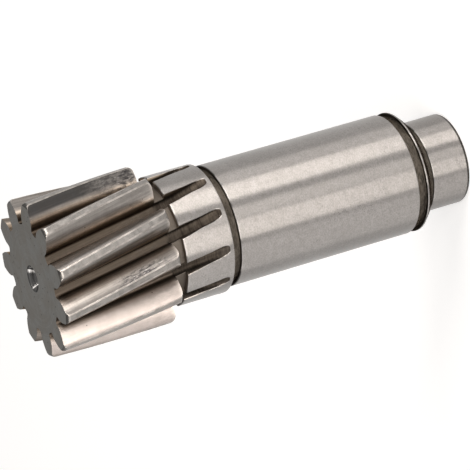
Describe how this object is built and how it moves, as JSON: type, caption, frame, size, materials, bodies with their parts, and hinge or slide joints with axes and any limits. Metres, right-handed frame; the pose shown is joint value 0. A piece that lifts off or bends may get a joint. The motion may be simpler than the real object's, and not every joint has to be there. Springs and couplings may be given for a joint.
{
  "type": "pinion shaft",
  "caption": "Helical pinion shaft: gear teeth cut on the end of a ground journal, with a collar, retaining ring grooves and a spigot.",
  "frame": {"origin": "centre of the spigot's end face", "axes": "+Z along the shaft's axis to the gear's end face, +X through the middle of a tooth at that face, +Y follows from them"},
  "size_m": [0.0206, 0.0206, 0.0597],
  "materials": {
    "steel": "ground and hobbed bare steel"
  },
  "bodies": {
    "root": {"pinion_shaft": "steel"}
  },
  "joints": []
}
